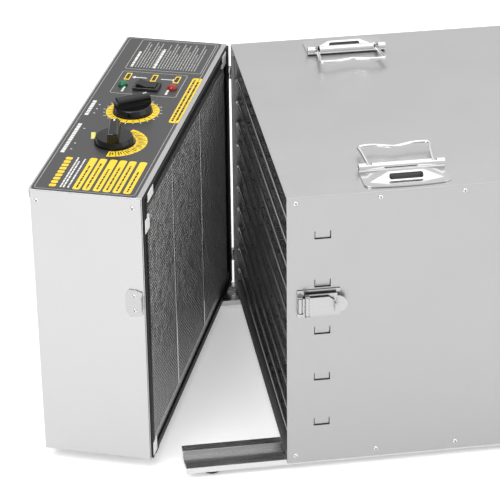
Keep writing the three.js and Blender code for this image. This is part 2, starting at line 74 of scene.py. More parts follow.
# Camera: the eye is in bench mm and the angles in degrees; the last two turns roll and tip it, so that the
# cabinet runs out of the right-hand side of the picture
view = {"eye": (-334.6, -2034.6, 1409.2), "azimuth": 9.73, "elevation": 27.1, "roll": 1.292, "tip": -1.550,
        "lens": 159.6, "sensor": 36, "farthest": 50}
cameraData = bpy.data.cameras.new("camera")
cameraData.lens = view["lens"]
cameraData.sensor_width = view["sensor"]
cameraData.clip_end = view["farthest"]
camera = bpy.data.objects.new("camera", cameraData)
camera.matrix_world = (
    Matrix.Translation(toRow @ Vector(view["eye"]))
    @ Matrix.Rotation(-math.radians(view["azimuth"]), 4, "Z")
    @ Matrix.Rotation(math.radians(90 - view["elevation"]), 4, "X")
    @ Matrix.Rotation(math.radians(view["roll"]), 4, "Y")
    @ Matrix.Rotation(math.radians(view["tip"]), 4, "X")
)
bpy.context.scene.collection.objects.link(camera)
bpy.context.scene.camera = camera


def linearColor(hexText):
    # an sRGB hex colour as the linear values that a shader takes
    parts = [int(hexText[i:i + 2], 16) / 255 for i in (1, 3, 5)]
    return [c / 12.92 if c <= 0.04045 else ((c + 0.055) / 1.055) ** 2.4 for c in parts] + [1]


def addNode(tree, kind, settings=None, links=None):
    # settings name either a socket or a property of the node; links join sockets to other nodes' outputs
    node = tree.nodes.new(kind)
    for key, value in (settings or {}).items():
        if key in node.inputs:
            node.inputs[key].default_value = value
        else:
            setattr(node, key, value)
    for key, source in (links or {}).items():
        tree.links.new(source, node.inputs[key])
    return node


grainHeight = 0.05 * mm  # how far the finest marks stand up on every finish


def newMaterial(name, **values):
    material = bpy.data.materials.new(name)
    material.use_nodes = True
    tree = material.node_tree
    shader = tree.nodes["Principled BSDF"]
    for key, value in values.items():
        shader.inputs[key].default_value = value
    return material, tree, shader


def brushedStainless(name, base, roughness, grain, grainAxis="Z"):
    # Rolled and brushed stainless: fine grey hairlines along grainAxis, which blur what the metal mirrors
    material, tree, shader = newMaterial(name, Metallic=1.0, Roughness=roughness)
    place = addNode(tree, "ShaderNodeTexCoord")
    hairlineSpacing = 0.6 * mm  # real ones are about 0.1 mm apart, drawn coarser so that they show
    hairlineStretch = 0.02  # each is fifty times as long as the space between them
    stretch = [hairlineStretch if axis == grainAxis else 1 for axis in "XYZ"]
    lines = addNode(tree, "ShaderNodeMapping", {"Scale": [s / hairlineSpacing for s in stretch]},
                    {"Vector": place.outputs["Object"]})
    hairs = addNode(tree, "ShaderNodeTexNoise", {"Scale": 1, "Detail": 3, "Roughness": 0.6},
                    {"Vector": lines.outputs["Vector"]})
    patchSize = 70 * mm  # handling marks and slight waves in the sheet
    patches = addNode(tree, "ShaderNodeTexNoise", {"Scale": 1 / patchSize, "Detail": 2},
                      {"Vector": place.outputs["Object"]})
    tint = addNode(tree, "ShaderNodeMapRange", {"To Min": 0.96, "To Max": 1.04},
                   {"Value": hairs.outputs["Fac"]})
    color = addNode(tree, "ShaderNodeMix", {"data_type": "RGBA", "blend_type": "MULTIPLY"})
    color.inputs[0].default_value = 1
    color.inputs[6].default_value = linearColor(base)
    tree.links.new(tint.outputs["Result"], color.inputs[7])
    tree.links.new(color.outputs[2], shader.inputs["Base Color"])
    mixed = addNode(tree, "ShaderNodeMath", {"operation": "MULTIPLY_ADD"})
    mixed.inputs[1].default_value = 0.5  # the patches count half as much as the hairlines
    tree.links.new(patches.outputs["Fac"], mixed.inputs[0])
    tree.links.new(hairs.outputs["Fac"], mixed.inputs[2])
    rough = addNode(tree, "ShaderNodeMapRange",
                    {"From Min": 0.3, "From Max": 1.2,
                     "To Min": roughness - 0.07, "To Max": roughness + 0.08},
                    {"Value": mixed.outputs["Value"]})
    tree.links.new(rough.outputs["Result"], shader.inputs["Roughness"])
    bump = addNode(tree, "ShaderNodeBump", {"Strength": grain, "Distance": grainHeight},
                   {"Height": hairs.outputs["Fac"]})
    tree.links.new(bump.outputs["Normal"], shader.inputs["Normal"])
    return material


def polishedStainless(name, base, roughness):
    # Buffed stainless wire and pressings: near mirror, with faint smears from the buffing wheel
    material, tree, shader = newMaterial(name, Metallic=1.0, Roughness=roughness)
    shader.inputs["Base Color"].default_value = linearColor(base)
    place = addNode(tree, "ShaderNodeTexCoord")
    smearSize = 9 * mm
    smears = addNode(tree, "ShaderNodeTexNoise", {"Scale": 1 / smearSize, "Detail": 4},
                     {"Vector": place.outputs["Object"]})
    rough = addNode(tree, "ShaderNodeMapRange",
                    {"From Min": 0.3, "From Max": 0.7, "To Min": roughness * 0.7, "To Max": roughness * 1.6},
                    {"Value": smears.outputs["Fac"]})
    tree.links.new(rough.outputs["Result"], shader.inputs["Roughness"])
    scratchSpacing = 0.8 * mm
    scratches = addNode(tree, "ShaderNodeTexNoise", {"Scale": 1 / scratchSpacing, "Detail": 2},
                        {"Vector": place.outputs["Object"]})
    bump = addNode(tree, "ShaderNodeBump", {"Strength": 0.04, "Distance": grainHeight},
                   {"Height": scratches.outputs["Fac"]})
    tree.links.new(bump.outputs["Normal"], shader.inputs["Normal"])
    return material


def mouldedSurface(name, base, roughness, ior=1.5, grainSize=0.5, grainDepth=0.1):
    # Moulded or printed non-metals: an even colour with a slight mottle and a fine grain, grainSize in mm
    material, tree, shader = newMaterial(name, Roughness=roughness, IOR=ior)
    place = addNode(tree, "ShaderNodeTexCoord")
    mottleSize = 14 * mm
    mottle = addNode(tree, "ShaderNodeTexNoise", {"Scale": 1 / mottleSize, "Detail": 3},
                     {"Vector": place.outputs["Object"]})
    color = addNode(tree, "ShaderNodeMix", {"data_type": "RGBA", "blend_type": "MIX"})
    color.inputs[6].default_value = [c * 0.9 for c in linearColor(base)[:3]] + [1]
    color.inputs[7].default_value = [min(c * 1.1, 1) for c in linearColor(base)[:3]] + [1]
    tree.links.new(mottle.outputs["Fac"], color.inputs[0])
    tree.links.new(color.outputs[2], shader.inputs["Base Color"])
    rough = addNode(tree, "ShaderNodeMapRange", {"To Min": roughness * 0.85, "To Max": roughness * 1.15},
                    {"Value": mottle.outputs["Fac"]})
    tree.links.new(rough.outputs["Result"], shader.inputs["Roughness"])
    grain = addNode(tree, "ShaderNodeTexNoise", {"Scale": 1 / (grainSize * mm), "Detail": 2},
                    {"Vector": place.outputs["Object"]})
    bump = addNode(tree, "ShaderNodeBump", {"Strength": grainDepth, "Distance": grainHeight},
                   {"Height": grain.outputs["Fac"]})
    tree.links.new(bump.outputs["Normal"], shader.inputs["Normal"])
    return material


# Stainless skins: broad soft reflections with the hairlines running up the sides and along the top; the sides'
# copy is darker, painted shade, and the top's copy is lighter, painted light
satinStainless = brushedStainless("satin_stainless_sheet", "#B9B9B9", roughness=0.34, grain=0.12)
shadedSideStainless = brushedStainless("satin_stainless_side_painted_shade", "#A6A6A6", roughness=0.34, grain=0.12)
litTopStainless = brushedStainless("satin_stainless_top_painted_light", "#C8C8C8", roughness=0.36, grain=0.12, grainAxis="X")
# Mill finish on sheet that is not meant to be seen: duller, with a stronger grain
innerStainless = brushedStainless("mill_finish_stainless", "#A9A9A9", roughness=0.42, grain=0.15,
                                  grainAxis="X")
# Small pressings and folded rails: tighter highlights that pick out their edges
fittingSteel = brushedStainless("pressed_fitting_steel", "#AEAEAE", roughness=0.28, grain=0.06,
                                grainAxis="X")
railStainless = brushedStainless("bright_rolled_stainless", "#CBCBCB", roughness=0.26, grain=0.06,
                                 grainAxis="X")
# Near-black sheet: behind the screen its black is painted shade, so the air path reads as black
darkSheet = brushedStainless("near_black_sheet", "#121213", roughness=0.5, grain=0.2, grainAxis="Y")
# Buffed handles, pins and rods: near mirror, with hard white glints
buffedStainless = polishedStainless("buffed_stainless", "#E2E2E2", roughness=0.11)
trayRod = polishedStainless("tray_rod_stainless", "#E8E8E8", roughness=0.14)
# Woven wire: greyer and softer, as each wire is kinked by the weave
trayWire = polishedStainless("tray_wire_stainless", "#9A9A9A", roughness=0.32)
screenWire = polishedStainless("woven_screen_wire", "#C6C6C6", roughness=0.52)
# The element's sheath is browned by its own heat; the castings are a flat grey
heaterTube = polishedStainless("oxidised_heater_tube", "#4A4642", roughness=0.45)
castAluminium = polishedStainless("cast_aluminium", "#8C8F92", roughness=0.4)
# Soft black parts: a matt seal and feet that hardly mirror at all
siliconeSeal = mouldedSurface("black_silicone_seal", "#141414", 0.6, ior=1.41, grainSize=0.6, grainDepth=0.25)
rubberFoot = mouldedSurface("black_rubber_foot", "#161616", 0.75, ior=1.52, grainSize=0.8, grainDepth=0.3)
# Knobs and rocker shine, and the same gloss black paints the shade in the screws' cross recesses; bezels and
# bodies are satin
glossBlackAndRecessShade = mouldedSurface("gloss_black_abs_and_recess_shade", "#070707", 0.14, ior=1.46, grainSize=0.9, grainDepth=0.03)
satinAbs = mouldedSurface("satin_black_abs", "#141415", 0.38, ior=1.54, grainSize=0.5, grainDepth=0.15)
# The panel's film is a soft charcoal, and the screen-printed inks lie flat and even on it
panelFilm = mouldedSurface("charcoal_polycarbonate_film", "#363637", 0.34, ior=1.58, grainSize=0.35,
                           grainDepth=0.12)
yellowInk = mouldedSurface("yellow_screen_ink", "#E8C42A", 0.45, grainSize=0.4)
paleInk = mouldedSurface("pale_yellow_screen_ink", "#D9D478", 0.45, grainSize=0.4)
whiteInk = mouldedSurface("white_screen_ink", "#D9D9D6", 0.5, grainSize=0.4)
silverInk = mouldedSurface("silver_screen_ink", "#A8A8A6", 0.45, grainSize=0.4)
blackInk = mouldedSurface("black_screen_ink", "#2A2410", 0.5, grainSize=0.4)
# Nylon: a dull grey in the handle slots, and milky white clips
greyNylon = mouldedSurface("dark_grey_nylon", "#565656", 0.5, ior=1.53, grainSize=0.6)
naturalNylon = mouldedSurface("natural_nylon_clip", "#E4E4E0", 0.45, ior=1.53, grainSize=0.6)
# Lamp lenses: glassy domes, unlit
greenLens = mouldedSurface("green_acrylic_lens", "#06613F", 0.1, ior=1.49, grainSize=0.8, grainDepth=0.02)
redLens = mouldedSurface("red_acrylic_lens", "#8E1A17", 0.1, ior=1.49, grainSize=0.8, grainDepth=0.02)
print("materials ready")


weldDistance = 0.002 * mm
smoothBelow = math.radians(35)  # faces that meet at less than this shade as one surface


def newPiece(name, bm, material, body, replaces=(), home=None):
    # bm is in bench mm; home is the box that the piece belongs to, when its own body hangs on that box
    bmesh.ops.recalc_face_normals(bm, faces=bm.faces)
    mesh = bpy.data.meshes.new(name)
    bm.to_mesh(mesh)
    bm.free()
    mesh.transform(openings.get(home or body, Matrix.Identity(4)) @ toRow)
    settle(name, mesh, material, body, replaces)


def flatFacesKept(mesh):
    # large flat faces keep their own normals, and only the rolled edges between them shade as round
    holder = bpy.data.objects.new("holder", mesh)
    bpy.context.scene.collection.objects.link(holder)
    weighting = holder.modifiers.new("weighting", "WEIGHTED_NORMAL")
    weighting.keep_sharp, weighting.weight = True, 100
    bpy.context.view_layer.update()
    result = bpy.data.meshes.new_from_object(holder.evaluated_get(bpy.context.evaluated_depsgraph_get()))
    bpy.data.objects.remove(holder)
    result.name = mesh.name
    return result


def settle(name, mesh, material, body, replaces=()):
    # shades a finished mesh and gives it its material and body
    mesh.shade_smooth()
    mesh.set_sharp_from_angle(angle=smoothBelow)
    mesh = flatFacesKept(mesh)
    for one in material if isinstance(material, (list, tuple)) else [material]:
        mesh.materials.append(one)
    piece = bpy.data.objects.new(name, mesh)
    bpy.context.scene.collection.objects.link(piece)
    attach(piece, body)
    if replaces:
        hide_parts(*replaces)


def bevelSharp(bm, width, angle=38, segments=2, leave=lambda point: False):
    # rolls over the edges that turn by more than this many degrees
    edges = [e for e in bm.edges if e.is_manifold and e.calc_face_angle(0) > math.radians(angle)
             and not any(leave(v.co) for v in e.verts)]
    if edges:
        bmesh.ops.bevel(bm, geom=edges, offset=width, segments=segments, profile=0.6, affect="EDGES",
                        clamp_overlap=True)


def cadSolid(node):
    # a copy of the CAD mesh with its split corners welded
    bm = bmesh.new()
    bm.from_mesh(cadNodes[node].data)
    bmesh.ops.remove_doubles(bm, verts=bm.verts, dist=weldDistance)
    return bm


def joinFlatFaces(bm):
    # triangles that lie in one plane become one face
    bmesh.ops.dissolve_limit(bm, angle_limit=math.radians(0.5), verts=bm.verts, edges=bm.edges)


def softened(node, material, width, segments=2):
    # the CAD solid with its triangles joined into flat faces and its sharp edges rolled over
    bm = cadSolid(node)
    joinFlatFaces(bm)
    bevelSharp(bm, width * mm, segments=segments)
    mesh = bpy.data.meshes.new(node + "_finished")
    bm.to_mesh(mesh)
    bm.free()
    body = next(b for b, members in frame["record"]["behaviour"]["bodies"].items() if node in members)
    settle(node + "_finished", mesh, material, body, [node])


def addBox(bm, x0, x1, y0, y1, z0, z1, turn=None, slotIndex=0):
    # a block between these limits, then moved by turn
    made = bmesh.ops.create_cube(bm, size=1)["verts"]
    size = Matrix.Diagonal((x1 - x0, y1 - y0, z1 - z0, 1))
    move = Matrix.Translation(((x0 + x1) / 2, (y0 + y1) / 2, (z0 + z1) / 2))
    bmesh.ops.transform(bm, matrix=(turn or Matrix.Identity(4)) @ move @ size, verts=made)
    for face in {f for v in made for f in v.link_faces}:
        face.material_index = slotIndex


def circlePoint(radius, angle, cx=0, cy=0):
    # a point on a circle, with the angle in degrees
    return cx + radius * math.cos(math.radians(angle)), cy + radius * math.sin(math.radians(angle))


def addLathe(bm, profile, steps, at=Matrix.Identity(4), slotIndex=0):
    # profile runs from the axis to the axis as (radius, height)
    rings = []
    for radius, height in profile:
        count = steps if radius > 0 else 1
        points = [circlePoint(radius, 360 * i / steps) for i in range(count)]
        rings.append([bm.verts.new(at @ Vector((x, y, height))) for x, y in points])
    for low, high in zip(rings, rings[1:]):
        for i in range(steps):
            corners = [low[i % len(low)], low[(i + 1) % len(low)],
                       high[(i + 1) % len(high)], high[i % len(high)]]
            unique = list(dict.fromkeys(corners))
            if len(unique) > 2:
                bm.faces.new(unique).material_index = slotIndex


def addOutline(bm, points, z0, z1, at=Matrix.Identity(4), slotIndex=0):
    # a flat shape from its corners, given a thickness
    low = [bm.verts.new(at @ Vector((x, y, z0))) for x, y in points]
    high = [bm.verts.new(at @ Vector((x, y, z1))) for x, y in points]
    bm.faces.new(list(reversed(low))).material_index = slotIndex
    bm.faces.new(high).material_index = slotIndex
    for i in range(len(points)):
        j = (i + 1) % len(points)
        bm.faces.new([low[i], low[j], high[j], high[i]]).material_index = slotIndex


def cornerCentres(x0, x1, y0, y1, radius):
    # each corner's centre, and the angle at which its round starts
    return ((x1 - radius, y1 - radius, 0), (x0 + radius, y1 - radius, 90),
            (x0 + radius, y0 + radius, 180), (x1 - radius, y0 + radius, 270))


def roundedCorners(x0, x1, y0, y1, radius, steps=5):
    # a rectangle's outline with rounded corners
    points = []
    for cx, cy, start in cornerCentres(x0, x1, y0, y1, radius):
        points += [circlePoint(radius, start + 90 * i / steps, cx, cy) for i in range(steps + 1)]
    return points


def facesBetween(bm, rows, closed=True, slotIndex=0):
    # joins four matching lines of corners into a band with four sides
    count = len(rows[0])
    for i in range(count if closed else count - 1):
        j = (i + 1) % count
        for a in range(4):
            b = (a + 1) % 4
            bm.faces.new([rows[a][i], rows[a][j], rows[b][j], rows[b][i]]).material_index = slotIndex


def addBand(bm, outer, inner, z0, z1, closed=True, slotIndex=0):
    # a flat band between two matching outlines
    rows = [[bm.verts.new((x, y, z)) for x, y in line] for line, z in
            ((outer, z0), (outer, z1), (inner, z1), (inner, z0))]
    facesBetween(bm, rows, closed, slotIndex)
    if not closed:
        for i in (0, len(outer) - 1):
            bm.faces.new([rows[a][i] for a in range(4)]).material_index = slotIndex


def smoothPath(points, steps):
    # a Catmull-Rom curve through the points
    points = [Vector(p) for p in points]
    ends = [2 * points[0] - points[1]] + points + [2 * points[-1] - points[-2]]
    path = []
    for a, b, c, d in zip(ends, ends[1:], ends[2:], ends[3:]):
        for i in range(steps):
            t = i / steps
            path.append(0.5 * ((2 * b) + (c - a) * t + (2 * a - 5 * b + 4 * c - d) * t * t
                               + (3 * b - a - 3 * c + d) * t ** 3))
    return path + [points[-1]]


def addTube(bm, path, radius, sides=12, slotIndex=0):
    # a round bar along a path, with closed ends and no twist
    path = [Vector(p) for p in path]
    along = (path[1] - path[0]).normalized()
    across = along.orthogonal().normalized()
    rings = []
    for i, point in enumerate(path):
        ahead = (path[min(i + 1, len(path) - 1)] - path[max(i - 1, 0)]).normalized()
        across = (along.rotation_difference(ahead) @ across).normalized()
        along = ahead
        up = along.cross(across)
        rings.append([bm.verts.new(point + radius * (math.cos(2 * math.pi * k / sides) * across
                                                     + math.sin(2 * math.pi * k / sides) * up))
                      for k in range(sides)])
    for low, high in zip(rings, rings[1:]):
        for k in range(sides):
            after = (k + 1) % sides
            bm.faces.new([low[k], low[after], high[after], high[k]]).material_index = slotIndex
    bm.faces.new(list(reversed(rings[0]))).material_index = slotIndex
    bm.faces.new(rings[-1]).material_index = slotIndex


# Cabinet shell: sheet with its folded and sheared edges just rolled over
sheetEdges = {"topPanel": 0.45, "sidePlate": 0.3, "floor": 0.3, "rack": 0.25, "rail": 0.4}
# the top panel's lighter stainless is painted light, and the side panels' darker stainless is painted shade
softened("cabinet_top_panel", litTopStainless, sheetEdges["topPanel"])
softened("near_side_panel", shadedSideStainless, sheetEdges["sidePlate"], segments=1)
softened("far_side_panel", shadedSideStainless, sheetEdges["sidePlate"], segments=1)
softened("cabinet_floor_panel", innerStainless, sheetEdges["floor"], segments=1)
for node in ("near_tray_rack", "far_tray_rack"):
    softened(node, innerStainless, sheetEdges["rack"], segments=1)
for node in ("near_rail", "far_rail"):
    softened(node, railStainless, sheetEdges["rail"])
print("cabinet shell ready")


# Screws: pan heads with a cross recess, seated on the sheet; the recess is a black cross block, painted shade
screws = {"radius": 2.6, "height": 1.5, "domeAngles": (15, 35, 55, 72),
          "crossHalf": 0.28, "crossReach": 0.55, "crossDepth": 0.5, "crossTurn": 20}


def addScrew(bm, at, radius=screws["radius"], height=screws["height"]):
    # crossReach is a share of the head's radius
    dome = [(0, 0), (radius, 0)]
    for angle in screws["domeAngles"]:
        dome.append((radius * math.cos(math.radians(angle)), height * math.sin(math.radians(angle))))
    dome += [(0.1 * radius, height), (0, height)]
    addLathe(bm, dome, 20, at)
    reach, half = radius * screws["crossReach"], screws["crossHalf"]
    for turn in (0, 90):
        spin = at @ Matrix.Rotation(math.radians(turn + screws["crossTurn"]), 4, "Z")
        # the cross is a black block standing for the recess: painted shade
        addBox(bm, -reach, reach, -half, half, height - screws["crossDepth"], height + 0.04, spin, 1)


def facing(direction, position):
    # a matrix that stands a shape drawn along +Z on a surface that faces this way
    return Matrix.Translation(position) @ Vector(direction).to_track_quat("Z", "Y").to_matrix().to_4x4()


sideScrews = {"first": 9.7, "pitch": 91, "count": 5, "upper": 327, "lower": 10}
bm = bmesh.new()
for i in range(sideScrews["count"]):
    x = sideScrews["first"] + i * sideScrews["pitch"]
    for z in (plateBottomZ + sideScrews["upper"], plateBottomZ + sideScrews["lower"]):
        addScrew(bm, facing((0, -1, 0), (x, 0, z)))
        addScrew(bm, facing((0, 1, 0), (x, cabinetWidth, z)))
# the second material, the black of the cross recesses, is painted shade
newPiece("cabinet_screws", bm, [buffedStainless, glossBlackAndRecessShade], "cabinet")


# Feet: turned rubber with a soft lower lip
for node in [name for name in cadNodes if name.startswith("foot_")]:
    low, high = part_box(node)
    radius = (high.x - low.x) / 2 / mm
    height = (high.z - low.z) / mm
    middle = ((low + high) / 2 - benchOrigin) / mm
    profile = [(0, 0), (radius - 1.6, 0), (radius - 0.4, 0.5), (radius, 1.5), (radius - 0.3, 2.4),
               (radius - 1.3, height - 0.8), (radius - 1.9, height), (0, height)]
    bm = bmesh.new()
    addLathe(bm, profile, 40, Matrix.Translation((middle.x, middle.y, 0)))
    newPiece(node + "_finished", bm, rubberFoot, "cabinet", [node])


# Trays: woven wire cloth folded round a rod rim; the second wires cross over the first and sink into them
trays = {"wirePitch": 6.0, "wire": 1.0, "rodRadius": 1.9, "cornerRadius": 4,
         "crossLow": 0.3, "crossHigh": 1.1}
bendAngles = (-4, 22, 45, 68, 94)  # a little past square, so that each bend runs into the straight rods
for node in sorted(name for name in cadNodes if name.startswith("tray_")):
    low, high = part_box(node)
    low, high = (low - benchOrigin) / mm, (high - benchOrigin) / mm
    z = (low.z + high.z) / 2
    rod, corner, half = trays["rodRadius"], trays["cornerRadius"], trays["wire"] / 2
    crossLow, crossHigh = z + trays["wire"] * trays["crossLow"], z + trays["wire"] * trays["crossHigh"]
    clothX, clothY = high.x - low.x - 4 * rod, high.y - low.y - 4 * rod
    bm = bmesh.new()
    countAcross = int(clothY / trays["wirePitch"])
    for i in range(countAcross + 1):
        y = low.y + 2 * rod + i * clothY / countAcross
        addBox(bm, low.x + rod, high.x - rod, y - half, y + half, z - half, z + half)
    countAlong = int(clothX / trays["wirePitch"])
    for i in range(countAlong + 1):
        x = low.x + 2 * rod + i * clothX / countAlong
        addBox(bm, x - half, x + half, low.y + rod, high.y - rod, crossLow, crossHigh)
    for x in (low.x + rod, high.x - rod):
        addTube(bm, [(x, low.y + corner, z), (x, high.y - corner, z)], rod, 12, 1)
    for y in (low.y + rod, high.y - rod):
        addTube(bm, [(low.x + corner, y, z), (high.x - corner, y, z)], rod, 10, 1)
    for cx, cy, start in cornerCentres(low.x, high.x, low.y, high.y, corner):
        bend = [(*circlePoint(corner - rod, start + a, cx, cy), z) for a in bendAngles]
        addTube(bm, bend, rod, 12, 1)
    newPiece(node + "_woven", bm, [trayWire, trayRod], node + "_body", [node])
print("trays ready")


# Heater box shell, its works and the door; the number is how far each edge is rolled over, in mm
softened("heater_housing", satinStainless, 0.4)
softened("heater_bottom_panel", satinStainless, 0.3, segments=1)
softened("heater_face_frame", innerStainless, 0.2, segments=1)
# the lid takes the top's lighter stainless: painted light
softened("control_panel", litTopStainless, 0.5)
softened("face_seal", siliconeSeal, 0.9, segments=3)
softened("fan_motor", castAluminium, 0.8)
softened("fan_rotor", castAluminium, 0.3, segments=1)
softened("timer_body", satinAbs, 0.8)
softened("thermostat_body", castAluminium, 0.8)
softened("power_inlet", satinAbs, 0.5)
softened("switch_body", satinAbs, 0.7)
softened("switch_rocker", glossBlackAndRecessShade, 0.45, segments=3)
softened("door_panel", satinStainless, 0.5)
softened("door_liner", innerStainless, 0.2, segments=1)
for node in [name for name in cadNodes if "_hinge_" in name]:
    softened(node, buffedStainless, 0.25)
for node in ("latch_base", "latch_lever", "latch_claw", "latch_catch"):
    softened(node, fittingSteel, 0.3)
print("plain fittings ready")


def ringRound(x, radius, steps=72):
    # a closed ring that faces along X, centred on the fan
    turns = [circlePoint(radius, 360 * i / steps, fan["y"], fan["z"]) for i in range(steps + 1)]
    return [(x, y, z) for y, z in turns]


# The heater box in closed bench coordinates: its back and the fan's centre
boxBackX = -126
fan = {"y": 207.5, "z": 180}

# Air screen: woven wire held in the face frame, with two joining strips and a near-black baffle behind it, whose
# black is painted shade
screen = {"y": (20.3, 394.7), "z": (35.1, 320.7), "pitch": 4.7, "wire": 1.5, "upright": (-4.0, -3.5),
          "level": (-3.5, -3.0), "seams": (131, 266), "seamHalf": 1.6, "seamX": (-2.9, -2.3)}
bm = bmesh.new()
half = screen["wire"] / 2
(y0, y1), (z0, z1) = screen["y"], screen["z"]
for i in range(int((y1 - y0) / screen["pitch"]) + 1):
    y = min(y0 + half + i * screen["pitch"], y1 - half)
    addBox(bm, *screen["upright"], y - half, y + half, z0, z1)
for i in range(int((z1 - z0) / screen["pitch"]) + 1):
    z = min(z0 + half + i * screen["pitch"], z1 - half)
    addBox(bm, *screen["level"], y0, y1, z - half, z + half)
newPiece("screen_weave", bm, screenWire, "heater_box", ["air_screen"])

bm = bmesh.new()
for y in screen["seams"]:
    addBox(bm, *screen["seamX"], y - screen["seamHalf"], y + screen["seamHalf"], z0, z1)
bevelSharp(bm, 0.2)
newPiece("screen_seams", bm, buffedStainless, "heater_box")

baffle = {"x": -15, "thickness": 0.8, "hole": 117, "steps": 64, "y": (13, 402), "z": (24, 328)}


def outToRectangle(point):
    # the place where a line from the fan's centre through this point meets the baffle's edge
    dy, dz = point[0] - fan["y"], point[1] - fan["z"]
    reachY = abs(baffle["y"][dy > 0] - fan["y"])
    reachZ = abs(baffle["z"][dz > 0] - fan["z"])
    grow = min(reachY / max(abs(dy), 1e-6), reachZ / max(abs(dz), 1e-6))
    return fan["y"] + dy * grow, fan["z"] + dz * grow


bm = bmesh.new()
rim = [circlePoint(baffle["hole"], 360 * i / baffle["steps"], fan["y"], fan["z"])
       for i in range(baffle["steps"])]
edge = [outToRectangle(point) for point in rim]
front, back = baffle["x"], baffle["x"] - baffle["thickness"]
rows = [[bm.verts.new((x, y, z)) for y, z in line] for line, x in
        ((edge, front), (rim, front), (rim, back), (edge, back))]
facesBetween(bm, rows)
# the baffle's near-black stands for the shade inside the box: painted shade
newPiece("fan_baffle_painted_shade", bm, darkSheet, "heater_box")

# Fan guard: round wire rings welded to three bars, which lie against their backs
guard = {"x": -32, "rings": (122, 100.5, 80.5, 59, 38.5), "wire": 1.1, "barX": -33.5, "barReach": 121,
         "barAngles": (30, 90, 150)}
bm = bmesh.new()
for radius in guard["rings"]:
    addTube(bm, ringRound(guard["x"], radius), guard["wire"], 8)
for angle in guard["barAngles"]:
    ends = [circlePoint(reach, angle, fan["y"], fan["z"])
            for reach in (-guard["barReach"], guard["barReach"])]
    addTube(bm, [(guard["barX"], y, z) for y, z in ends], guard["wire"], 8)
newPiece("fan_guard_wires", bm, railStainless, "heater_box", ["fan_guard"])

# Heating element: a sheathed tube bent into a ring round the fan
element = {"radius": 110, "tube": 4, "x": -52.7}
bm = bmesh.new()
addTube(bm, ringRound(element["x"], element["radius"]), element["tube"], 14)
newPiece("heater_ring", bm, heaterTube, "heater_box", ["heating_element"])

# Clips that hold the face frame, each with its limits across and up
clips = {"x": (-2.6, -0.1), "edge": 0.4,
         "places": ((15, 38, 331, 341.5), (1.5, 19, 300, 316), (378, 396, 326, 341.5), (1.5, 17, 19, 36))}
bm = bmesh.new()
for place in clips["places"]:
    addBox(bm, *clips["x"], *place)
bevelSharp(bm, clips["edge"])
newPiece("face_clips", bm, naturalNylon, "heater_box")

# A rubber bumper at the latch side's lower corner, and the strip along the hinge side
bumper = {"limits": (-2.8, -0.2, 12, 26, 15, 25), "edge": 0.8}
bm = bmesh.new()
addBox(bm, *bumper["limits"])
bevelSharp(bm, bumper["edge"])
newPiece("corner_bumper", bm, rubberFoot, "heater_box")
hingeStrip = {"limits": (-2.9, -2.4, 396, 405, 36, 330)}
bm = bmesh.new()
addBox(bm, *hingeStrip["limits"])
newPiece("hinge_edge_strip", bm, darkSheet, "heater_box")

# Screws of the heater box: along its sides, at the corners of its end, and two smaller ones in the catch
boxScrews = {"sideX": (-118.7, -13.5), "sideZ": 330, "endY": (12, 403), "endZ": (40, 325),
             "catchX": -15, "catchFace": -1.5, "catchZ": (206.5, 224.5),
             "catchRadius": 2.3, "catchHeight": 1.2}
bm = bmesh.new()
for x in boxScrews["sideX"]:
    addScrew(bm, facing((0, -1, 0), (x, 0, boxScrews["sideZ"])))
    addScrew(bm, facing((0, 1, 0), (x, cabinetWidth, boxScrews["sideZ"])))
for y in boxScrews["endY"]:
    for z in boxScrews["endZ"]:
        addScrew(bm, facing((-1, 0, 0), (boxBackX, y, z)))
for z in boxScrews["catchZ"]:
    place = facing((0, -1, 0), (boxScrews["catchX"], boxScrews["catchFace"], z))
    addScrew(bm, place, boxScrews["catchRadius"], boxScrews["catchHeight"])
# the second material, the black of the cross recesses, is painted shade
newPiece("heater_screws", bm, [buffedStainless, glossBlackAndRecessShade], "heater_box")
print("heater box ready")

# Control panel: a printed film stuck on the lid, with raised ink marks and no lettering
# Places on it are in mm: x in from the heater end, y along the lid from the latch side
panel = {"z": 343, "film": 0.25, "glue": 0.02, "ink": 0.09, "overprint": 0.05, "sunk": 0.01,
         "filmX": (0.8, 117.3), "filmY": (0.8, 414.2), "filmCorner": 5,
         "borderX": (3.6, 114.3), "borderY": (3.6, 411.4), "borderCorner": 4.5, "border": 0.6}
filmTop = panel["z"] + panel["film"]
inkLow = filmTop - panel["sunk"]
inkTop = filmTop + panel["ink"]
overprintTop = inkTop + panel["overprint"]  # ink printed on ink
bm = bmesh.new()
filmX0, filmX1 = (boxBackX + x for x in panel["filmX"])
filmOutline = roundedCorners(filmX0, filmX1, *panel["filmY"], panel["filmCorner"])
addOutline(bm, filmOutline, panel["z"] + panel["glue"], filmTop)
newPiece("panel_film", bm, panelFilm, "heater_box")


def addMark(bm, x0, x1, y0, y1, radius=0.5, ink=0, top=inkTop):
    # a printed block with rounded corners
    radius = min(radius, (x1 - x0) / 2.01, (y1 - y0) / 2.01)
    outline = roundedCorners(boxBackX + x0, boxBackX + x1, y0, y1, radius, 3)
    addOutline(bm, outline, inkLow, top, slotIndex=ink)


def addFrame(bm, x0, x1, y0, y1, line, outerRadius, steps, ink=0):
    # an outlined box, with its line drawn inside these limits
    left, right = boxBackX + x0, boxBackX + x1
    outer = roundedCorners(left, right, y0, y1, outerRadius, steps)
    inner = roundedCorners(left + line, right - line, y0 + line, y1 - line, outerRadius - line, steps)
    addBand(bm, outer, inner, inkLow, inkTop, slotIndex=ink)


dashes = {"shortest": 1.82, "gap": (0.83, 1.32), "leastLeft": 1.24, "corner": 0.25}


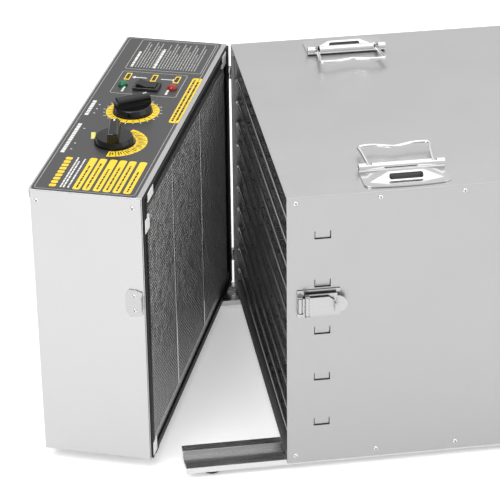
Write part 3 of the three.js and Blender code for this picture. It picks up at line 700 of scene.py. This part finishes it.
def addDashes(bm, x, height, y0, y1, seed, ink, longest):
    # a row of short blocks of uneven length, which stands for a line of print
    dice = random.Random(seed)
    y = y0
    while y < y1 - dashes["leastLeft"]:
        length = min(dice.uniform(dashes["shortest"], longest), y1 - y)
        addMark(bm, x - height / 2, x + height / 2, y, y + length, dashes["corner"], ink, overprintTop)
        y += length + dice.uniform(*dashes["gap"])


controlX = -66.5  # the line on which both knobs stand
timer = {"y": 207.5, "inner": 23, "outer": 30.6, "marks": 24, "knobTurn": 37}
thermostat = {"y": 126.5, "inner": 24, "outer": 36.8, "marks": 9, "start": -90, "end": 70, "knobTurn": 102}


def arc(cy, radius, start, end, steps):
    return [circlePoint(radius, start + (end - start) * i / steps, controlX, cy) for i in range(steps + 1)]


def addRadialTick(bm, cy, angle, r0, r1, width, ink):
    turn = Matrix.Translation((controlX, cy, 0)) @ Matrix.Rotation(math.radians(angle), 4, "Z")
    addBox(bm, r0, r1, -width / 2, width / 2, inkLow, overprintTop, turn, ink)


def addNotes(bm):
    # two blocks of fine print under headings, in an outlined box
    addFrame(bm, 19.9, 111.9, 321.6, 409.2, 0.7, 2.7, 4, silver)
    start, rowPitch, firstRow = 328.2, 3.4, 4.64
    lineEnds = (403.4, 393.5, 400.95, 381.95, 403.4, 396.8, 376.15)
    for heading, length, rowsBelow, seed in ((26.5, 46.3, 7, 32), (53.9, 57.87, 14, 65)):
        addDashes(bm, heading, 3, start, start + length, seed, white, 9.92)
        for i in range(rowsBelow):
            end = lineEnds[(i + seed) % len(lineEnds)]
            addDashes(bm, heading + firstRow + i * rowPitch, 1.16, start, end, 100 * seed + i, silver, 6.61)


def addSwitchMarks(bm):
    # three symbols joined by arrows in the switch's box, and a caption by each lamp
    addFrame(bm, 19.9, 98.65, 252.15, 315, 0.7, 2.7, 4, silver)
    for x in (29.85, 61.35, 88.7):
        addMark(bm, x - 3.3, x + 3.3, 291, 310, 0.8, yellow)
        addMark(bm, x - 2, x + 2, 293.5, 307.5, 0.5, black, overprintTop)
    arrow = {"y": 299.25, "shaft": 0.8, "barb": 3.3, "tip": 4.15}
    for tail, head in ((53.05, 38.95), (69.65, 83.75)):
        low, high = sorted((tail, head))
        addMark(bm, low, high, arrow["y"] - arrow["shaft"], arrow["y"] + arrow["shaft"], 0.3, white)
        reach = arrow["tip"] if head > tail else -arrow["tip"]
        points = [(boxBackX + head + reach, arrow["y"]), (boxBackX + head, arrow["y"] + arrow["barb"]),
                  (boxBackX + head, arrow["y"] - arrow["barb"])]
        addOutline(bm, points if reach > 0 else list(reversed(points)), inkLow, inkTop, slotIndex=white)
    for x, seed in ((33.15, 47), (85.4, 110)):
        addDashes(bm, x, 2.65, 257.95, 282.75, seed, white, 6.61)


def addNotice(bm):
    # a yellow strip along the screen's side, with two rows of print
    addMark(bm, 106.1, 117.7, 186, 309.2, 3, yellow)
    addDashes(bm, 109.45, 2.5, 190.15, 305.05, 41, black, 9.09)
    addDashes(bm, 114.4, 2.5, 193.45, 299.25, 42, black, 9.09)


def addTimerScale(bm):
    rings = [arc(timer["y"], timer[side], 0, 360, 72)[:-1] for side in ("outer", "inner")]
    addBand(bm, *rings, inkLow, inkTop, slotIndex=yellow)
    for i in range(timer["marks"]):
        angle, long = i * 360 / timer["marks"], i % 2 == 0
        addRadialTick(bm, timer["y"], angle, 23.6 if long else 24.5, 29.5, 0.8, black)
        addRadialTick(bm, timer["y"], angle, 31.6, 34.4 if long else 33.2, 0.9, white)


def addThermostatScale(bm):
    start, end, y = thermostat["start"], thermostat["end"], thermostat["y"]
    rings = [arc(y, thermostat[side], start, end, 48) for side in ("outer", "inner")]
    addBand(bm, *rings, inkLow, inkTop, closed=False, slotIndex=yellow)
    for i in range(thermostat["marks"]):
        angle = start + (i + 0.5) * (end - start) / thermostat["marks"]
        addRadialTick(bm, y, angle - 8.9, 24.2, 36.6, 0.8, black)
        addRadialTick(bm, y, angle - 2.6, 26.5, 34.5, 1.3, black)
        addRadialTick(bm, y, angle + 2.6, 26.5, 32.5, 1.3, black)
    slant = Matrix.Translation((boxBackX + 32.35, 138.05, 0)) @ Matrix.Rotation(math.radians(14), 4, "Z")
    addBox(bm, -2.4, 2.4, -8.3, 8.3, inkLow, inkTop, slant, pale)


def addKnobCaptions(bm):
    # a caption by each knob, with small dots beside it
    for y0, y1, seed in ((188.5, 228.15, 228), (90.95, 167, 110)):
        addDashes(bm, 9.95, 4.3, y0, y1, seed, white, 5.79)
    for y in (195.1, 206.7, 218.25, 100.85, 115.75, 153.75):
        addMark(bm, 16.6, 18.65, y - 0.66, y + 0.66, 0.2, white)


def addTitleBlock(bm):
    # six yellow lozenges with a row of print on each, then a plain title of nine blocks and three rows
    lozenge = {"width": 8.3, "y": (7.45, 83.5), "corner": 2.6, "printFrom": 11.55,
               "printEnds": (66.15, 71.9, 60.35)}
    places = ((44.75, 54), (55.55, 67), (67.15, 81), (77.9, 94), (88.7, 107), (100.3, 121))
    for i, (x, seed) in enumerate(places):
        addMark(bm, x, x + lozenge["width"], *lozenge["y"], lozenge["corner"], yellow)
        end = lozenge["printEnds"][i % len(lozenge["printEnds"])]
        addDashes(bm, x + lozenge["width"] / 2, 2, lozenge["printFrom"], end, seed, black, 8.27)
    for i in range(9):
        addMark(bm, 18.25, 25.7, 9.9 + i * 8.1, 16.05 + i * 8.1, 1.6, yellow)
    for x, end, seed in ((31.5, 81.85, 938), (34.8, 72.75, 942), (39.8, 79.35, 948)):
        addDashes(bm, x, 1.8, 9.9, end, seed, white, 6.61)


inks = [silverInk, whiteInk, yellowInk, paleInk, blackInk]
silver, white, yellow, pale, black = range(5)
bm = bmesh.new()
addFrame(bm, *panel["borderX"], *panel["borderY"], panel["border"], panel["borderCorner"], 5, silver)
for addPart in (addNotes, addSwitchMarks, addNotice, addTimerScale, addThermostatScale, addKnobCaptions,
                addTitleBlock):
    addPart(bm)
newPiece("panel_marks", bm, inks, "heater_box")
print("control panel ready")

# Knobs: a turned skirt with a soft rim and a tapered bar grip, which has a white pointer at one end
knob = {"radius": 22.4, "grip": 21.4, "pointer": (13, 17.4), "pointerHalf": 0.9, "pointerZ": (19.9, 20.12),
        "endSteps": 10}
gripLevels = [(8.2, 7.0, 0), (9.4, 6.6, 0.1), (13, 6.3, 0.2), (16.5, 5.9, 0.5), (18.6, 5.1, 1.2),
              (19.6, 3.9, 2.3), (20, 2.4, 3.8)]  # height, half width, and how far the ends are drawn in


def addGrip(bm, at):
    rings = []
    for z, halfWidth, inset in gripLevels:
        radius = knob["grip"] - inset
        reach = math.degrees(math.asin(halfWidth / radius))
        line = [circlePoint(radius, -reach + 2 * reach * i / knob["endSteps"])
                for i in range(knob["endSteps"] + 1)]
        line += [(-x, -y) for x, y in line]
        rings.append([bm.verts.new(at @ Vector((x, y, z))) for x, y in line])
    for lower, upper in zip(rings, rings[1:]):
        for i in range(len(lower)):
            j = (i + 1) % len(lower)
            bm.faces.new([lower[i], lower[j], upper[j], upper[i]])
    bm.faces.new(list(reversed(rings[0])))
    bm.faces.new(rings[-1])


rim = knob["radius"]
skirt = [(0, 1), (rim - 0.8, 1), (rim - 0.2, 1.3), (rim, 2), (rim - 0.3, 4), (rim - 1.9, 7.9),
         (rim - 2.4, 8.6), (rim - 3.4, 9), (0, 9)]
for name, control in (("timer", timer), ("thermostat", thermostat)):
    at = (Matrix.Translation((controlX, control["y"], panel["z"]))
          @ Matrix.Rotation(math.radians(control["knobTurn"]), 4, "Z"))
    bm = bmesh.new()
    addLathe(bm, skirt, 72, at)
    addGrip(bm, at)
    addBox(bm, *knob["pointer"], -knob["pointerHalf"], knob["pointerHalf"], *knob["pointerZ"], at, 1)
    newPiece(name + "_knob_moulding", bm, [glossBlackAndRecessShade, whiteInk], name + "_knob_body",
             [name + "_knob"], home="heater_box")

# Lamps: a domed lens in a collar
lamps = {"y": 275.3, "greenX": -96, "redX": -37}
lensProfile = [(0, -10), (4.4, -10), (4.5, -9.8), (4.5, 0.35), (5.5, 0.35), (5.8, 0.7), (5.8, 1.5),
               (5.5, 2.6), (4.9, 3.7), (4, 4.6), (2.9, 5.2), (1.5, 5.5), (0, 5.6)]
for color, lens in (("green", greenLens), ("red", redLens)):
    bm = bmesh.new()
    addLathe(bm, lensProfile, 40, Matrix.Translation((lamps[color + "X"], lamps["y"], panel["z"])))
    newPiece(color + "_lamp_lens", bm, lens, "heater_box", [color + "_lamp"])


# Chest handles: a pressed plate with a slot through its hollow ridge, and a bent bar that swings in the roll
def carved(bm, cutterMesh):
    # cuts one closed shape out of another
    blankMesh = bpy.data.meshes.new("blank")
    bm.to_mesh(blankMesh)
    bm.free()
    blank = bpy.data.objects.new("blank", blankMesh)
    cutter = bpy.data.objects.new("cutter", cutterMesh)
    for one in (blank, cutter):
        bpy.context.scene.collection.objects.link(one)
    modifier = blank.modifiers.new("carve", "BOOLEAN")
    modifier.operation, modifier.solver, modifier.object = "DIFFERENCE", "EXACT", cutter
    bpy.context.view_layer.update()
    result = bpy.data.meshes.new_from_object(blank.evaluated_get(bpy.context.evaluated_depsgraph_get()))
    for one in (blank, cutter):
        bpy.data.objects.remove(one)
    return result


handle = {"x": 133, "plateY": 8, "ridgeY": 22, "rollY": 41, "gap": 0.3, "edge": 0.4, "edgeAngle": 24,
          "slotHalf": 18.5, "slotZ": (2.4, 7.4), "slotCorner": 2.2, "cutterLength": 30, "cutterEnd": 35,
          "pinZ": 5, "bar": 2.0, "rise": 5, "legWay": (31, 40), "legWayDepth": 4}
backing = {"half": 19, "low": 0.4, "strips": ((-7.5, -3, 1.2), (3, 7.5, 1.2), (-2.6, 2.6, 6))}
bailHalf = [(45, 0), (40, 0), (36.8, 0.3), (35.6, 2.6), (36, 12), (37.6, 30), (39, 39), (37.6, 43),
            (32, 44.2), (21, 44), (10, 41)]  # from the pin round to the dip in the middle of the grip
bailMiddle = (0, 38.6)


def inLegWay(point):
    # the notches that the bail's legs swing in keep their sheared edges
    near, far = handle["legWay"]
    return (near < abs(point.x - handle["x"]) < far
            and point.y > handle["plateY"] + handle["rollY"] - handle["legWayDepth"])


def addHandlePlate(node, flip):
    # the CAD plate with a slot cut lengthways through both sides of its ridge, and its edges rolled over
    slot = bmesh.new()
    slotFrom = (handle["x"], handle["plateY"] + handle["cutterEnd"], topZ + handle["gap"])
    across = flip @ Matrix.Translation(slotFrom) @ Matrix.Rotation(math.radians(90), 4, "X")
    outline = roundedCorners(-handle["slotHalf"], handle["slotHalf"], *handle["slotZ"], handle["slotCorner"])
    addOutline(slot, outline, 0, handle["cutterLength"], across)
    bmesh.ops.recalc_face_normals(slot, faces=slot.faces)
    cutterMesh = bpy.data.meshes.new("slot_cutter")
    slot.to_mesh(cutterMesh)
    slot.free()
    cutterMesh.transform(toRow)
    plateMesh = carved(cadSolid(node), cutterMesh)
    bm = bmesh.new()
    bm.from_mesh(plateMesh)
    joinFlatFaces(bm)
    toClosedBench = flip.inverted() @ toRow.inverted()
    bevelSharp(bm, handle["edge"] * mm, handle["edgeAngle"], 2, lambda point: inLegWay(toClosedBench @ point))
    mesh = bpy.data.meshes.new(node + "_pressed")
    bm.to_mesh(mesh)
    bm.free()
    settle(node + "_pressed", mesh, buffedStainless, "cabinet", [node])


def addBacking(name, flip):
    # nylon strips that show dark through the slot
    bm = bmesh.new()
    middleY = handle["plateY"] + handle["ridgeY"]
    x0, x1 = handle["x"] - backing["half"], handle["x"] + backing["half"]
    for low, high, height in backing["strips"]:
        addBox(bm, x0, x1, middleY + low, middleY + high, topZ + backing["low"], topZ + height, flip)
    newPiece(name, bm, greyNylon, "cabinet")


def addBail(side, flip):
    points = [(-x, y, 0) for x, y in bailHalf]
    points += [(*bailMiddle, 0)]
    points += [(x, y, 0) for x, y in reversed(bailHalf)]
    pin = (handle["x"], handle["plateY"] + handle["rollY"], topZ + handle["gap"] + handle["pinZ"])
    lift = flip @ Matrix.Translation(pin) @ Matrix.Rotation(math.radians(handle["rise"]), 4, "X")
    bm = bmesh.new()
    addTube(bm, [lift @ p for p in smoothPath(points, 5)], handle["bar"], 20)
    newPiece(side + "_bail_bar", bm, buffedStainless, side + "_bail_body", [side + "_bail"])


mirrored = Matrix.Translation((0, cabinetWidth, 0)) @ Matrix.Diagonal((1, -1, 1, 1))
for side, flip in (("near", Matrix.Identity(4)), ("far", mirrored)):
    addHandlePlate(side + "_handle_plate", flip)
    addBacking(side + "_handle_backing", flip)
    addBail(side, flip)

# Door handle: a bar bent into a bow
doorHandle = {"at": (408.3, 36, 179), "bar": 5, "half": [(0, 60), (14, 60), (26, 56), (30, 46)],
              "middle": (30, 0)}
bow = [(x, 0, -z) for x, z in doorHandle["half"]]
bow += [(doorHandle["middle"][0], 0, doorHandle["middle"][1])]
bow += [(x, 0, z) for x, z in reversed(doorHandle["half"])]
bm = bmesh.new()
addTube(bm, [Vector(doorHandle["at"]) + p for p in smoothPath(bow, 6)], doorHandle["bar"], 22)
newPiece("door_handle_bar", bm, buffedStainless, "door", ["door_handle"])
print("handles ready")

# Floor: a pale light table, just below the feet
floorSize = {"half": 40, "cells": 8, "drop": 0.0005, "glow": 0.3}
floorMaterial, floorTree, floorShader = newMaterial("pale_studio_floor", Roughness=0.6)
floorPlace = addNode(floorTree, "ShaderNodeTexCoord")
floorMottle = addNode(floorTree, "ShaderNodeTexNoise", {"Scale": 6, "Detail": 3},
                      {"Vector": floorPlace.outputs["Object"]})
floorRough = addNode(floorTree, "ShaderNodeMapRange", {"To Min": 0.55, "To Max": 0.65},
                     {"Value": floorMottle.outputs["Fac"]})
floorTree.links.new(floorRough.outputs["Result"], floorShader.inputs["Roughness"])
floorShader.inputs["Base Color"].default_value = linearColor("#F4F4F4")
floorShader.inputs["Emission Color"].default_value = linearColor("#FFFFFF")
floorShader.inputs["Emission Strength"].default_value = floorSize["glow"]  # keeps the shadows pale
bm = bmesh.new()
cells = floorSize["cells"]
bmesh.ops.create_grid(bm, x_segments=cells, y_segments=cells, size=floorSize["half"])
floorMesh = bpy.data.meshes.new("floor")
bm.to_mesh(floorMesh)
bm.free()
floorMesh.materials.append(floorMaterial)
floor = bpy.data.objects.new("floor", floorMesh)
floor.location.z = -floorSize["drop"]
bpy.context.scene.collection.objects.link(floor)

# Light: three soft lamps, in metres and watts
softLamps = [
    {"name": "key_light", "at": (-1.6, -1.8, 2.6), "aim": (0, -0.05, 0.15), "size": 1.8, "power": 55},
    {"name": "fill_light", "at": (2.4, -1.6, 1.6), "aim": (0, 0, 0.15), "size": 2.6, "power": 16},
    {"name": "top_light", "at": (0.2, 0.4, 3.2), "aim": (0, 0, 0), "size": 5, "power": 50},
]
for spec in softLamps:
    lightData = bpy.data.lights.new(spec["name"], "AREA")
    lightData.size, lightData.energy = spec["size"], spec["power"]
    light = bpy.data.objects.new(spec["name"], lightData)
    aim = (Vector(spec["aim"]) - Vector(spec["at"])).to_track_quat("-Z", "Y").to_matrix().to_4x4()
    light.matrix_world = Matrix.Translation(spec["at"]) @ aim
    bpy.context.scene.collection.objects.link(light)

# Surroundings: an even white, brighter toward the door end and overhead, for the steel to mirror
world = bpy.data.worlds.new("studio")
bpy.context.scene.world = world
world.use_nodes = True
tree = world.node_tree
place = addNode(tree, "ShaderNodeTexCoord")
axes = addNode(tree, "ShaderNodeSeparateXYZ", {}, {"Vector": place.outputs["Generated"]})
across = addNode(tree, "ShaderNodeMapRange",
                 {"From Min": -0.5, "From Max": 0.5, "To Min": 0.38, "To Max": 0.86},
                 {"Value": axes.outputs["X"]})
overhead = addNode(tree, "ShaderNodeMapRange",
                   {"From Min": 0.35, "From Max": 0.9, "To Min": 0, "To Max": 0.35},
                   {"Value": axes.outputs["Z"]})
total = addNode(tree, "ShaderNodeMath", {"operation": "ADD"})
tree.links.new(across.outputs["Result"], total.inputs[0])
tree.links.new(overhead.outputs["Result"], total.inputs[1])
tree.links.new(total.outputs["Value"], tree.nodes["Background"].inputs["Strength"])
tree.nodes["Background"].inputs["Color"].default_value = linearColor("#FFFFFF")
bpy.context.scene.view_settings.view_transform = "Standard"

print("all pieces ready")
